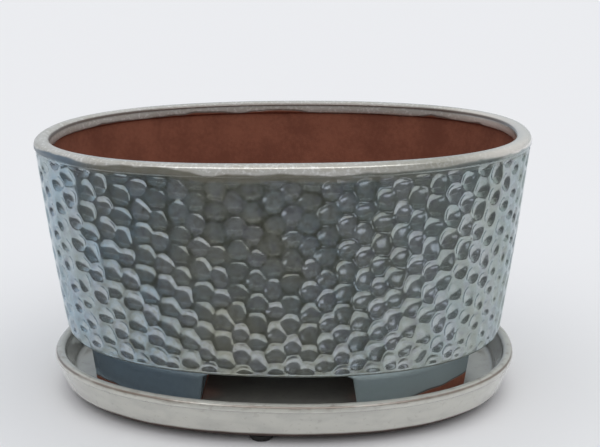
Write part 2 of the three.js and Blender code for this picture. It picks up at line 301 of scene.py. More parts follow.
class NodeSheet:
    """A node tree, with short calls for the nodes that the finishes share."""

    def __init__(self, tree: bpy.types.NodeTree) -> None:
        """Takes over a node tree and empties it."""
        self.tree = tree
        self.tree.nodes.clear()

    def put(self, socket: bpy.types.NodeSocket, value: object) -> None:
        """Links a socket into an input, or sets a plain value on it.

        Args:
            socket: The input.
            value: A socket, a number, or three numbers for a colour.
        """
        if isinstance(value, bpy.types.NodeSocket):
            self.tree.links.new(value, socket)
        elif isinstance(value, tuple) and len(value) == 3 and socket.type == "RGBA":
            socket.default_value = (*value, 1.0)
        else:
            socket.default_value = value

    def math(self, operation: str, *values: object) -> bpy.types.NodeSocket:
        """One Math node.

        Args:
            operation: The node's operation.
            values: Up to three inputs, each a socket or a number.

        Returns:
            Its result.
        """
        node = self.tree.nodes.new("ShaderNodeMath")
        node.operation = operation
        for socket, value in zip(node.inputs, values):
            self.put(socket, value)
        return node.outputs[0]

    def times(self, a: object, b: object) -> bpy.types.NodeSocket:
        """The product of two numbers."""
        return self.math("MULTIPLY", a, b)

    def step(self, low: float, high: float, value: object) -> bpy.types.NodeSocket:
        """A smooth step, as ease() makes it for arrays.

        Args:
            low: Where the step starts.
            high: Where it ends; it may be less than low.
            value: What is stepped.

        Returns:
            The step, 0 to 1.
        """
        node = self.tree.nodes.new("ShaderNodeMapRange")
        node.interpolation_type = "SMOOTHSTEP"
        self.put(node.inputs["Value"], value)
        node.inputs["From Min"].default_value = low
        node.inputs["From Max"].default_value = high
        return node.outputs["Result"]

    def mix(self, factor: object, a: object, b: object) -> bpy.types.NodeSocket:
        """A mix of two colours.

        Args:
            factor: 0 for a, 1 for b.
            a: The first colour, a socket or three numbers.
            b: The second colour.

        Returns:
            The mixed colour.
        """
        node = self.tree.nodes.new("ShaderNodeMix")
        node.data_type = "RGBA"
        self.put(node.inputs[0], factor)
        self.put(node.inputs[6], a)
        self.put(node.inputs[7], b)
        return node.outputs[2]

    def blend(self, factor: object, a: object, b: object) -> bpy.types.NodeSocket:
        """A mix of two numbers.

        Args:
            factor: 0 for a, 1 for b.
            a: The first number, or a socket.
            b: The second number.

        Returns:
            The mixed number.
        """
        node = self.tree.nodes.new("ShaderNodeMix")
        self.put(node.inputs[0], factor)
        self.put(node.inputs[2], a)
        self.put(node.inputs[3], b)
        return node.outputs[0]

    def window(self, middle: float, half: float, value: object) -> bpy.types.NodeSocket:
        """A smooth hump: 1 where value is middle, and 0 from half either side of it."""
        away = self.math("ABSOLUTE", self.math("SUBTRACT", value, middle))
        return self.step(half, 0.0, away)

    def along(self, axis: int) -> bpy.types.NodeSocket:
        """One Object coordinate in millimetres.

        Args:
            axis: 0 for x, 1 for y and 2 for z.

        Returns:
            The coordinate.
        """
        node = self.tree.nodes.new("ShaderNodeSeparateXYZ")
        self.put(node.inputs[0], self.place())
        return node.outputs[axis]

    def place(self) -> bpy.types.NodeSocket:
        """Object coordinates in millimetres.

        Returns:
            The three coordinates as one vector.
        """
        coordinates = self.tree.nodes.new("ShaderNodeTexCoord")
        node = self.tree.nodes.new("ShaderNodeVectorMath")
        node.operation = "SCALE"
        self.put(node.inputs[0], coordinates.outputs["Object"])
        node.inputs["Scale"].default_value = 1.0 / MM
        return node.outputs[0]

    def noise(self, size: float, detail: float = 2.0, stretch: Place | None = None,
              ) -> bpy.types.NodeSocket:
        """Noise between 0 and 1 in Object coordinates.

        Args:
            size: The size of its blotches in millimetres.
            detail: How many finer layers it has.
            stretch: Factors on the three coordinates, or none.

        Returns:
            The noise value.
        """
        where = self.place()
        if stretch is not None:
            node = self.tree.nodes.new("ShaderNodeVectorMath")
            node.operation = "MULTIPLY"
            self.put(node.inputs[0], where)
            node.inputs[1].default_value = stretch
            where = node.outputs[0]
        node = self.tree.nodes.new("ShaderNodeTexNoise")
        self.put(node.inputs["Vector"], where)
        node.inputs["Scale"].default_value = 1.0 / size
        node.inputs["Detail"].default_value = detail
        return node.outputs["Fac"]

    def patches(self, low: float, high: float, size: float, detail: float,
                amount: float = 1.0) -> bpy.types.NodeSocket:
        """Blotches that fade in over a span of the noise: a step of the noise, times an amount.

        Args:
            low: The noise where a blotch starts.
            high: The noise where it is full; less than low for blotches in the noise's lows.
            size: The noise's size in millimetres.
            detail: How many finer layers it has.
            amount: The value of a full blotch.

        Returns:
            The value, 0 between the blotches.
        """
        return self.times(self.step(low, high, self.noise(size, detail)), amount)

    def sway(self, size: float, detail: float, middle: float, amount: float,
             ) -> bpy.types.NodeSocket:
        """Noise less its middle, times an amount: how far an edge strays to either side."""
        return self.times(self.math("SUBTRACT", self.noise(size, detail), middle), amount)

    def mark(self, name: str) -> bpy.types.NodeSocket:
        """A vertex number of the mesh.

        Args:
            name: Its attribute's name.

        Returns:
            The number, spread smoothly over the faces.
        """
        node = self.tree.nodes.new("ShaderNodeAttribute")
        node.attribute_name = name
        return node.outputs["Fac"]

    def bump(self, height: object) -> bpy.types.NodeSocket:
        """A bumped normal.

        Args:
            height: The height of the surface in millimetres.

        Returns:
            The normal.
        """
        node = self.tree.nodes.new("ShaderNodeBump")
        node.inputs["Strength"].default_value = 1.0
        node.inputs["Distance"].default_value = MM
        self.put(node.inputs["Height"], height)
        return node.outputs[0]


class FinishSheet(NodeSheet):
    """The node tree of a new material with one Principled shader."""

    def __init__(self, name: str) -> None:
        """Starts the material with its output and its shader.

        Args:
            name: The material's name.
        """
        self.material = bpy.data.materials.new(name)
        self.material.use_nodes = True
        super().__init__(self.material.node_tree)
        output = self.tree.nodes.new("ShaderNodeOutputMaterial")
        self.shader = self.tree.nodes.new("ShaderNodeBsdfPrincipled")
        self.tree.links.new(self.shader.outputs[0], output.inputs[0])

    def set(self, **values: object) -> None:
        """Sets the shader's inputs by name, with underscores for spaces."""
        for key, value in values.items():
            self.put(self.shader.inputs[key.replace("_", " ")], value)


@dataclass(frozen=True)
class BareClay:
    """Unglazed red-brown stoneware: matt, blotched, with a fine grain."""

    dark: Color = (0.190, 0.063, 0.036)
    light: Color = (0.262, 0.093, 0.054)
    grain: float = 0.9
    roughness: float = 0.82

    def color(self, sheet: NodeSheet) -> bpy.types.NodeSocket:
        """The clay's colour: two layers of blotches between dark and light.

        Args:
            sheet: The material's nodes.

        Returns:
            The colour.
        """
        amount = sheet.math("ADD", sheet.times(sheet.noise(26.0, 3.0), 0.7),
                            sheet.times(sheet.noise(2.2, 3.0), 0.3))
        return sheet.mix(sheet.step(0.36, 0.64, amount), self.dark, self.light)

    def height(self, sheet: NodeSheet) -> bpy.types.NodeSocket:
        """The clay's grain and soft dents.

        Args:
            sheet: The material's nodes.

        Returns:
            Their height in millimetres.
        """
        grit = sheet.times(sheet.noise(self.grain, 2.0), 0.10)
        dents = sheet.times(sheet.noise(9.0, 1.0), 0.5)
        return sheet.math("ADD", grit, dents)


@dataclass(frozen=True)
class LustreGlaze:
    """The pot's reactive glaze: a blue-grey lustre where it pools in the dimples, olive where it
    thins over the ridges and round the middle of the front, dark in the plain band under the lip
    and painted dark as the shade of a groove at its left, cream on the lip with painted sparkle
    highlights, and burnt brown where it ends over bare clay. Painted shade and light: a dark net
    over the ridges at the front, a glow in the dimples' middles, a reflection at the lip's front
    right, a line on the lip's inner edge, near-black clay under the pot, and feet darker on the
    left than on the right. Places are in millimetres and spans run from where an effect starts to
    where it is full."""

    blue: Color = (0.345, 0.455, 0.530)
    green: Color = (0.360, 0.430, 0.430)
    olive: Color = (0.455, 0.470, 0.408)
    mauve: Color = (0.46, 0.47, 0.53)
    pooled_glaze_and_glow: Color = (0.56, 0.60, 0.60)
    thinned: Color = (0.25, 0.25, 0.19)
    dusk: Color = (0.26, 0.265, 0.31)
    band: Color = (0.22, 0.205, 0.165)
    groove_shade_tone: Color = (0.085, 0.115, 0.150)
    cream: Color = (0.51, 0.50, 0.47)
    sparkle_highlight: Color = (0.80, 0.80, 0.79)
    milky: Color = (0.88, 0.82, 0.76)
    streak: Color = (0.46, 0.44, 0.39)
    ridge: Color = (0.130, 0.135, 0.095)
    burnt: Color = (0.075, 0.042, 0.030)
    underside_shade: Color = (0.026, 0.021, 0.017)
    foot_shaded_left: Color = (0.245, 0.332, 0.415)
    foot_lit_right: Color = (0.475, 0.580, 0.615)
    edge_tint: Color = (0.55, 0.66, 0.72)
    lustre: float = 0.73
    foot_lustre: float = 0.55
    band_lustre: float = 0.3
    lip_lustre: float = 0.2
    coat_roughness: float = 0.03
    olive_x: float = -12.0
    olive_span: tuple[float, float] = (8.0, 58.0)
    ridge_shade_span: tuple[float, float] = (100.0, 50.0)
    fleck_span: tuple[float, float] = (100.0, 40.0)
    green_span: tuple[float, float] = (0.0, 70.0)
    milky_span: tuple[float, float] = (80.0, 120.0)
    dark_reflection_x: float = 78.0
    dark_reflection_half: float = 50.0
    front_span: tuple[float, float] = (0.0, -30.0)
    low_left_span: tuple[float, float] = (-25.0, -60.0)
    groove_shade_span: tuple[float, float] = (-78.0, -100.0)
    band_span: tuple[float, float] = (4.4, 2.0)
    band_fade: tuple[float, float] = (20.0, 80.0)
    foot_shade_span: tuple[float, float] = (10.0, -50.0)
    foot_span: tuple[float, float] = (36.0, 32.0)
    lip_span: tuple[float, float] = (0.0, -1.2)
    glazed_span: tuple[float, float] = (-0.5, 0.1)
    burnt_half: float = 1.1
    underside_shade_span: tuple[float, float] = (-7.0, -8.5)
    inside_span: tuple[float, float] = (36.0, 38.0)
    clay: BareClay = BareClay()

    def wall_tone(self, sheet: NodeSheet) -> bpy.types.NodeSocket:
        """The wall's colour: blue, green and olive zones by place and by broad blotches, a tint for
        each dimple, a paler middle to each dimple that is pooled glaze and a painted glow, small
        flecks and dusky patches, and a dark olive net over the ridges, partly glaze and partly
        painted shade, that fades out towards the ends.

        Args:
            sheet: The material's nodes.

        Returns:
            The colour.
        """
        away = sheet.math("ABSOLUTE", sheet.math("SUBTRACT", sheet.along(0), self.olive_x))
        zone = sheet.times(sheet.step(*self.olive_span, away), 0.6)
        cool = sheet.mix(sheet.step(*self.green_span, sheet.along(0)), self.blue, self.green)
        tone = sheet.mix(sheet.math("ADD", zone, sheet.patches(0.38, 0.62, 24.0, 2.0, 0.4)),
                         self.olive, cool)
        mauve = sheet.times(sheet.step(0.55, 0.95, sheet.mark("own")), 0.35)
        tone = sheet.mix(mauve, tone, self.mauve)
        brown = sheet.times(sheet.step(0.45, 0.05, sheet.mark("own")), 0.22)
        tone = sheet.mix(brown, tone, self.thinned)
        # Paler middles of the dimples: pooled glaze and a painted glow of reflected light.
        glow = sheet.times(sheet.step(0.60, 0.95, sheet.mark("pool")), 0.45)
        tone = sheet.mix(glow, tone, self.pooled_glaze_and_glow)
        fleck = sheet.times(sheet.patches(0.40, 0.72, 2.4, 5.0),
                            sheet.blend(sheet.step(*self.fleck_span, away), 0.25, 0.60))
        tone = sheet.mix(fleck, tone, self.thinned)
        tone = sheet.mix(sheet.patches(0.50, 0.70, 4.5, 3.0, 0.45), tone, self.dusk)
        # Dark net over the ridges, fading out towards the ends: glaze over the ridges and painted
        # shade.
        thin_glaze_and_shade = sheet.times(sheet.step(0.60, 0.10, sheet.mark("pool")),
                           sheet.patches(0.25, 0.70, 5.0, 3.0, 0.78))
        thin_glaze_and_shade = sheet.times(thin_glaze_and_shade, sheet.step(*self.ridge_shade_span, away))
        tone = sheet.mix(thin_glaze_and_shade, tone, self.ridge)
        return sheet.mix(sheet.patches(0.70, 0.80, 2.2, 2.0, 0.7), tone, self.burnt)

    def lip_tone(self, sheet: NodeSheet) -> bpy.types.NodeSocket:
        """The lip's colour: cream with darker streaks and a speckle of painted sparkle highlights,
        milky towards +X and darker at the front right in a painted reflection, with a fine dark
        line of painted shade on its inner edge.

        Args:
            sheet: The material's nodes.

        Returns:
            The colour.
        """
        streaks = sheet.step(0.46, 0.66, sheet.noise(6.0, 3.0, (0.35, 0.35, 2.2)))
        tone = sheet.mix(sheet.times(streaks, 0.7), self.cream, self.streak)
        # Pale specks over the lip: painted sparkle highlights.
        tone = sheet.mix(sheet.patches(0.50, 0.66, 1.7, 3.0, 0.5), tone, self.sparkle_highlight)
        thick = sheet.times(sheet.step(*self.milky_span, sheet.along(0)), 0.7)
        tone = sheet.mix(thick, tone, self.milky)
        # A darker patch on the lip's front right: a painted reflection.
        dark_reflection = sheet.times(sheet.window(self.dark_reflection_x, self.dark_reflection_half, sheet.along(0)),
                            sheet.step(*self.front_span, sheet.along(1)))
        tone = sheet.mix(sheet.times(dark_reflection, 0.45), tone, self.thinned)
        # The dark line near the lip's inner edge: painted shade.
        return sheet.mix(sheet.times(sheet.mark("shoulder"), 0.9), tone, self.burnt)

    def material(self) -> bpy.types.Material:
        """Builds the material.

        Returns:
            The finished material, which reads the marks "below_lip", "reach", "pool",
            "shoulder" and "own".
        """
        sheet = FinishSheet("pot_glaze_finish")
        x, y, z = (sheet.along(axis) for axis in range(3))
        low_left = sheet.times(sheet.step(*self.low_left_span, x), sheet.step(*self.front_span, y))
        sway = sheet.math("MULTIPLY_ADD", low_left, 1.8, sheet.sway(26.0, 3.0, 0.46, 6.0))
        below = sheet.math("ADD", sheet.mark("below_lip"), sway)
        is_lip = sheet.step(*self.lip_span, below)
        is_band = sheet.times(sheet.step(*self.band_span, below),
                              sheet.blend(sheet.step(*self.band_fade, x), 0.85, 0.35))
        # On the left the band is painted dark blue, matt and without lustre: painted shade of a
        # groove.
        is_left = sheet.step(*self.groove_shade_span, x)
        groove_shade = sheet.times(is_band, is_left)
        band = sheet.mix(is_left, self.band, self.groove_shade_tone)
        # The feet are painted darker and bluer on the left and paler on the right: painted shade
        # and light.
        foot = sheet.mix(sheet.step(*self.foot_shade_span, x), self.foot_lit_right, self.foot_shaded_left)
        is_foot = sheet.step(*self.foot_span, z)
        wall = sheet.mix(sheet.times(is_foot, 0.85), self.wall_tone(sheet), foot)
        tone = sheet.mix(is_band, wall, band)
        tone = sheet.mix(is_lip, tone, self.lip_tone(sheet))
        reach = sheet.math("ADD", sheet.mark("reach"), sheet.sway(30.0, 2.0, 0.5, 9.0))
        end_line = sheet.window(0.0, self.burnt_half, reach)
        tone = sheet.mix(sheet.times(end_line, 0.85), tone, self.burnt)
        glazed = sheet.step(*self.glazed_span, reach)
        metal = sheet.blend(is_foot, self.lustre, self.foot_lustre)
        metal = sheet.blend(is_lip, sheet.blend(is_band, metal, self.band_lustre),
                            self.lip_lustre)
        metal = sheet.times(metal, sheet.math("SUBTRACT", 1.0, groove_shade))
        rough = sheet.blend(groove_shade, sheet.blend(is_lip, 0.19, 0.17), 0.45)
        bare = self.clay.color(sheet)
        # Clay deep under the glaze's end, under the pot and inside the feet, is painted near-black:
        # painted shade.
        under = sheet.step(*self.underside_shade_span, sheet.mark("reach"))
        clay = sheet.mix(under, bare, self.underside_shade)
        clay = sheet.mix(sheet.step(*self.inside_span, z), clay, bare)
        sheet.set(
            Base_Color=sheet.mix(glazed, clay, tone),
            Metallic=sheet.times(glazed, metal),
            Roughness=sheet.blend(glazed, self.clay.roughness, rough),
            Coat_Weight=sheet.times(glazed, sheet.blend(groove_shade, 0.6, 0.15)),
        )
        ripple = sheet.math("ADD", sheet.times(sheet.noise(5.0, 1.0), 0.05),
                            sheet.times(sheet.noise(1.3, 2.0), 0.012))
        normal = sheet.bump(sheet.blend(glazed, self.clay.height(sheet), ripple))
        sheet.set(Normal=normal, Coat_Normal=normal, Specular_Tint=self.edge_tint)
        sheet.shader.inputs["Coat Roughness"].default_value = self.coat_roughness
        return sheet.material


@dataclass(frozen=True)
class TrayGlaze:
    """The tray's glossy pale grey glaze, with darker clouds and flecks, a worn mottling on its lip
    and a brown line along the lip and the lower edge where it thins, down to bare clay at the
    base, painted far darker than the pot's clay as shade under the tray's edge."""

    pale: Color = (0.565, 0.56, 0.51)
    cloud: Color = (0.505, 0.50, 0.46)
    edge: Color = (0.14, 0.092, 0.066)
    lip_span: tuple[float, float] = (18.7, 23.2)
    thin_span: tuple[float, float] = (1.2, 0.1)
    glazed_span: tuple[float, float] = (-0.2, 0.2)
    lustre: float = 0.10
    roughness: float = 0.22
    coat_roughness: float = 0.04
    # The base's bare clay, darkened further as painted shade under the tray's edge.
    clay: BareClay = BareClay(dark=(0.035, 0.022, 0.018), light=(0.075, 0.045, 0.037))

    def material(self) -> bpy.types.Material:
        """Builds the material.

        Returns:
            The finished material, which reads the marks "reach" and "shoulder".
        """
        sheet = FinishSheet("tray_glaze_finish")
        cloud = sheet.step(0.38, 0.66, sheet.noise(14.0, 3.0, (1.0, 1.0, 2.4)))
        tone = sheet.mix(cloud, self.pale, self.cloud)
        tone = sheet.mix(sheet.patches(0.60, 0.72, 2.4, 2.0, 0.15), tone, self.edge)
        line = sheet.times(sheet.mark("shoulder"), sheet.patches(0.28, 0.54, 26.0, 3.0, 0.9))
        tone = sheet.mix(line, tone, self.edge)
        rubbed = sheet.times(sheet.step(0.50, 0.70, sheet.noise(3.2, 5.0, (0.6, 0.6, 1.5))),
                             sheet.step(*self.lip_span, sheet.along(2)))
        tone = sheet.mix(sheet.times(rubbed, 0.36), tone, self.edge)
        reach = sheet.math("ADD", sheet.mark("reach"), sheet.sway(22.0, 2.0, 0.5, 1.6))
        tone = sheet.mix(sheet.times(sheet.step(*self.thin_span, reach), 0.8), tone, self.edge)
        glazed = sheet.step(*self.glazed_span, reach)
        ripple = sheet.times(sheet.noise(8.0, 1.0), 0.14)
        normal = sheet.bump(sheet.blend(glazed, self.clay.height(sheet), ripple))
        sheet.set(
            Base_Color=sheet.mix(glazed, self.clay.color(sheet), tone),
            Metallic=sheet.times(glazed, self.lustre),
            Roughness=sheet.blend(glazed, self.clay.roughness, self.roughness),
            Coat_Weight=glazed,
            Normal=normal,
            Coat_Normal=normal,
        )
        sheet.shader.inputs["Coat Roughness"].default_value = self.coat_roughness
        return sheet.material


@dataclass(frozen=True)
class PadRubber:
    """Matt black rubber with fine grain and a little dust."""

    black: Color = (0.009, 0.008, 0.008)
    dusty: Color = (0.026, 0.023, 0.022)

    def material(self) -> bpy.types.Material:
        """Builds the material.

        Returns:
            The finished material.
        """
        sheet = FinishSheet("pad_rubber_finish")
        dust = sheet.step(0.45, 0.75, sheet.noise(3.0, 4.0))
        sheet.set(
            Base_Color=sheet.mix(dust, self.black, self.dusty),
            Roughness=sheet.blend(dust, 0.55, 0.8),
            Normal=sheet.bump(sheet.times(sheet.noise(0.5, 2.0), 0.06)),
        )
        return sheet.material


@dataclass(frozen=True)
class DimpleLattice:
    """The hammered wall: dimples in columns that crowd at the front and back, each about half a
    dimple above its neighbours, and each a little off its place, size and depth."""

    columns: int = 74
    crowding: float = 0.13
    drift: float = 0.16
    bottom: float = 37.3
    top: float = 137.2
    rows: int = 18
    stray: float = 0.09
    slip: float = 0.08
    depth: float = 1.5
    fullness: float = 2.6
    tilt: float = 0.35
    reach: tuple[float, float] = (1.56, 1.98)
    softness: float = 0.12
    uneven: float = 0.11
    ends: tuple[float, float] = (0.75, 0.40)
    calm: float = 0.22
    calm_middle: tuple[float, float] = (0.745, 122.0)
    calm_spread: tuple[float, float] = (0.055, 20.0)
    plain_share: float = 0.35

    @property
    def plain_depth(self) -> float:
        """How far the plain wall above and below the dimples lies under their ridges."""
        return self.plain_share * self.depth

    @property
    def row_pitch(self) -> float:
        """The height between two rows, which is half the pitch up a column."""
        return (self.top - self.bottom) / self.rows

    def lattice(self, share: Array, z: Array) -> tuple[Array, Array]:
        """Counts columns and dimples at a place on the wall, with their straying taken off. The
        columns crowd at front and back by a sine of twice the way round, and towards +X by a sine
        of the way round.

        Args:
            share: How far round the oval.
            z: The height in millimetres.

        Returns:
            The column number and the dimple number up the wall, as real numbers.
        """
        row = (z - self.bottom) / self.row_pitch
        turn = 2.0 * math.pi
        crowded = share - self.crowding * np.sin(2.0 * turn * share) / (2.0 * turn)
        crowded = crowded + self.drift * np.sin(turn * share) / turn
        column = self.columns * crowded - self.stray * wander(share, row, 0.4)
        return column, row / 2 - self.stray * wander(share, row, 2.9)

    def chance(self, column: Array, number: Array | float, seed: float) -> Array:
        """A number between -1 and 1 for each dimple: a sine of its column and its number."""
        return np.sin(2.399 * np.mod(column, self.columns) ** 1.3 + 5.27 * number + seed)

    def relief(self, z: Array) -> Array:
        """Where the dimples are full, 1, and where the wall is plain, 0."""
        low = ease(self.bottom - 1.0, self.bottom + 2.5, z)
        return low * ease(self.top + 0.3, self.top - 0.9, z)

    def strength(self, share: Array, z: Array) -> Array:
        """How deep the dimples are: less in a bell near the front's top.

        Args:
            share: How far round the oval.
            z: The height in millimetres.

        Returns:
            A factor on the depth, at most 1.
        """
        x = (share - self.calm_middle[0]) / self.calm_spread[0]
        y = (z - self.calm_middle[1]) / self.calm_spread[1]
        return 1.0 - self.calm * np.exp(-x * x - y * y)

    def sink(self, share: Array, z: Array) -> tuple[Array, Array, Array]:
        """How far the surface lies under the ridges. Each dimple sinks by depth times
        (1 - distance to the power of fullness), tilted so that its upper side is the deeper one,
        and the deepest of the four dimples around a place wins, with a soft edge: the logarithm
        of a sum of exponentials. Towards the oval's ends the dimples shrink with the cosine of
        the way round to the fourth.

        Args:
            share: How far round the oval.
            z: The height in millimetres.

        Returns:
            The sunk depth in millimetres, how deep in a dimple the place is, 0 to 1, and the
            dimple's own number, 0 to 1.
        """
        column, count = self.lattice(share, z)
        end = np.cos(2.0 * math.pi * share) ** 4
        narrow = self.reach[0] * (1.0 + self.ends[0] * end)
        short = self.reach[1] * (1.0 + self.ends[1] * end)
        total, own = np.zeros_like(column), np.zeros_like(column)
        for odd in (0.0, 1.0):
            middle = 2.0 * np.round((column - odd) / 2.0) + odd
            lift = odd / 2 + self.slip * self.chance(middle, 0.0, 5.6)
            base = np.floor(count - lift)
            for number in (base, base + 1.0):
                size = 1.0 + 0.5 * self.uneven * self.chance(middle, number, 0.3)
                x = column - middle - self.uneven * self.chance(middle, number, 1.9)
                y = count - lift - number - 0.5 * self.uneven * self.chance(middle, number, 4.1)
                x, y = x * narrow / size, y * short / size
                deep = self.depth * (1.0 + 1.6 * self.uneven * self.chance(middle, number, 2.6))
                bowl = deep * (1.0 - np.hypot(x, y) ** self.fullness) + self.tilt * y
                weight = np.exp(np.clip(bowl, -3.0, None) / self.softness)
                total += weight
                own += weight * (0.5 + 0.5 * self.chance(middle, number, 3.3))
        sunk = np.clip(self.softness * np.log(total), 0.0, None)
        relief = self.relief(z)
        depth = relief * sunk * self.strength(share, z) + (1.0 - relief) * self.plain_depth
        return depth, relief * sunk / self.depth, own / total


@dataclass
class Pot:
    """The pot: a bowl with a rounded lip, a hammered wall, two drain holes and four feet."""

    rim: Oval = Oval(266.0, 202.0)
    dimples: DimpleLattice = DimpleLattice()
    finish: LustreGlaze = LustreGlaze()
    rim_z: float = 143.6
    lip_z: float = 139.0
    undercut_z: float = 137.0
    edge_z: float = 34.8
    underside_z: float = 33.6
    floor_z: float = 40.6
    foot_z: float = 11.6
    rim_lean: float = 0.01
    rim_swell: float = 0.9
    lip_thickness: float = 8.5
    lip_fullness: float = 0.62
    lip_overhang: float = 0.5
    wall_inset: float = 12.8
    wall_bulge: float = 0.9
    wall_thickness: float = 6.4
    edge_radius: float = 2.5
    floor_radius: float = 12.0
    foot_inset: float = 8.0
    foot_thickness: float = 10.0
    foot_taper: float = 1.2
    arch_half: float = 38.0
    arch_flare: float = 3.0
    arch_corner: float = 4.0
    arch_web: float = 1.4
    arch_shift: float = 3.0
    drain_radius: float = 11.0
    drain_x: float = 46.0
    glaze_end_z: float = 13.8
    glaze_climb: float = 0.16
    glaze_climb_x: float = 48.0
    glaze_depth: float = 4.0
    foot_pool: float = 0.8
    far_glazed: float = 20.0
    far_bare: float = -9.0
    drain_rounding: float = 1.2
    swell_middle: float = 0.77
    swell_spread: float = 0.09
    fine: int = 864
    coarse: int = 216
    wall_rows: int = 88

    def inset_at(self, z: Array) -> Array:
        """How far the ridges lie inside the lip: a straight taper less a sine swell.

        Args:
            z: The heights.

        Returns:
            The inset at each height.
        """
        share = (self.lip_z - z) / (self.lip_z - self.edge_z)
        taper = self.lip_overhang + (self.wall_inset - self.lip_overhang) * share
        return taper - self.wall_bulge * np.sin(math.pi * share)

    def lean(self, x: Array, z: Array) -> Array:
        """The rim's rise towards +X, which fades to nothing at the floor."""
        share = np.clip((z - self.floor_z) / (self.rim_z - self.floor_z), 0.0, None)
        return self.rim_lean * x * share

    def wobble(self, share: Array, z: Array) -> Array:
        """A hand-made wall's unevenness: 0 to 0.5 mm inwards, in slow waves round and up."""
        turn = 2.0 * math.pi * share
        return 0.25 + 0.15 * np.sin(3 * turn + 0.02 * z) + 0.1 * np.sin(7 * turn - 0.05 * z + 1.3)

    def ring(self, share: Array, inset: Array, z: Array) -> Array:
        """Points on the pot, each at its share round, inset and height, with wobble, lean and a
        bell-shaped rise of the lip near the front's middle.

        Args:
            share: Shares round the oval.
            inset: The inset of each point from the lip's outside.
            z: The height of each point.

        Returns:
            Places shaped as the three spread together, with a last axis of three.
        """
        share, inset, z = np.broadcast_arrays(share, inset, z)
        flat = self.rim.angles(share[0] if share.ndim > 1 else share)
        angle = np.broadcast_to(flat, share.shape)
        x, y = self.rim.at(angle, inset + self.wobble(share, z) * ease(self.edge_z, 60.0, z))
        swell = self.rim_swell * np.exp(-((share - self.swell_middle) / self.swell_spread) ** 2)
        swell = swell * ease(self.lip_z, self.rim_z, z)
        return np.stack([x, y, z + self.lean(x, z) + swell], axis=-1)

    def plain_marks(self, reach: Array, pool: float) -> dict[str, Array]:
        """The marks of a surface away from the wall and the lip.

        Args:
            reach: How far inside the glaze each vertex is, in millimetres, less than 0 on clay.
            pool: How much glaze pools there, 0 to 1.

        Returns:
            The marks, for Surface.add_grid.
        """
        same = {"below_lip": 100.0, "pool": pool, "shoulder": 0.0, "own": 0.5}
        return {"reach": reach} | {name: np.full((1, 1), value) for name, value in same.items()}

    def add_foot_ring(self, shell: Surface) -> tuple[Array, int]:
        """Adds the ring under the body that carries the feet, from its inner side outwards, and
        the quarter curve of the body's lower edge.

        Args:
            shell: The surface to add to.

        Returns:
            The places of its first row, and the index of its last row's first vertex.
        """
        outer = self.wall_inset + self.foot_inset
        inner = outer + self.foot_thickness
        low = self.underside_z - self.arch_web
        turn = np.linspace(0.0, math.pi / 2, 6)[:-1]
        edge = self.wall_inset + self.edge_radius
        wall_foot = self.inset_at(self.dimples.bottom) + self.dimples.plain_depth
        inset = np.concatenate([
            [inner, inner, inner - 0.5, outer + 0.5, outer, outer - 0.3, outer - 2.2],
            edge - (edge - wall_foot) * np.sin(turn),
        ])
        z = np.concatenate([
            [self.underside_z, low + 0.5, low, low, low + 0.5, self.underside_z,
             self.underside_z + 0.3],
            self.dimples.bottom - self.edge_radius * np.cos(turn),
        ])
        reach = np.concatenate([[self.far_bare, -8.0, -7.0, 6.0, 9.0, 12.0, 14.0],
                                np.full(len(turn), self.far_glazed)])
        share = np.tile(np.arange(self.coarse) / self.coarse, (len(z), 1))
        places = self.ring(share, inset[:, None], z[:, None])
        first = shell.add_grid(places, self.plain_marks(reach[:, None], self.foot_pool))
        return places[0], first + (len(z) - 1) * self.coarse

    def add_wall(self, shell: Surface) -> tuple[int, int]:
        """Adds the hammered wall: its outline carried round the oval, with the dimples sunk in.

        Args:
            shell: The surface to add to.

        Returns:
            The indices of the first and of the last row's first vertex.
        """
        z = np.linspace(self.dimples.bottom, self.dimples.top, self.wall_rows + 1)
        share, height = np.meshgrid(np.arange(self.fine) / self.fine, z)
        depth, pool, own = self.dimples.sink(share, height)
        marks = {"below_lip": (self.lip_z - z)[:, None], "pool": pool, "own": own,
                 "reach": np.full((1, 1), self.far_glazed), "shoulder": np.zeros((1, 1))}
        first = shell.add_grid(self.ring(share, self.inset_at(height) + depth, height), marks)
        return first, first + self.wall_rows * self.fine

    def add_lip_and_inside(self, shell: Surface) -> tuple[int, Array]:
        """Adds the plain band, the lip, the undercut, the inner wall and the curve into the
        floor. The lip is half an ellipse whose height goes with a sine to the power of its
        fullness.

        Args:
            shell: The surface to add to.

        Returns:
            The index of the first row's first vertex, and the places of the last row.
        """
        band_z = np.array([137.6, 138.0, 138.4, 138.8])
        band_inset = self.inset_at(band_z) + np.array([0.55, 0.55, 0.4, 0.1])
        lip_row, shoulder_steps, lip_steps = len(band_z), 24, 28
        turn = np.linspace(0.0, math.pi, lip_steps + 1)
        lip_inset = self.lip_thickness / 2 * (1.0 - np.cos(turn))
        rise = np.abs(np.sin(turn)) ** self.lip_fullness
        lip_z = self.lip_z + (self.rim_z - self.lip_z) * rise
        under_inset = np.array([self.lip_thickness, self.lip_thickness - 0.3])
        under_z = np.array([self.undercut_z + 0.3, self.undercut_z - 0.1])
        curve_z = self.floor_z + self.floor_radius
        wall_z = np.linspace(self.undercut_z - 0.8, curve_z, 14)
        wall_inset = self.inset_at(wall_z) + self.wall_thickness
        bend = np.linspace(0.0, math.pi / 2, 10)[1:]
        floor_inset = wall_inset[-1] + self.floor_radius * (1.0 - np.cos(bend))
        inset = np.concatenate([band_inset, lip_inset, under_inset, wall_inset, floor_inset])
        z = np.concatenate([band_z, lip_z, under_z, wall_z,
                            curve_z - self.floor_radius * np.sin(bend)])
        run = np.concatenate([[0.0], np.cumsum(np.hypot(np.diff(inset), np.diff(z)))])
        start, shoulder, end = run[lip_row + np.array([0, shoulder_steps, lip_steps])]
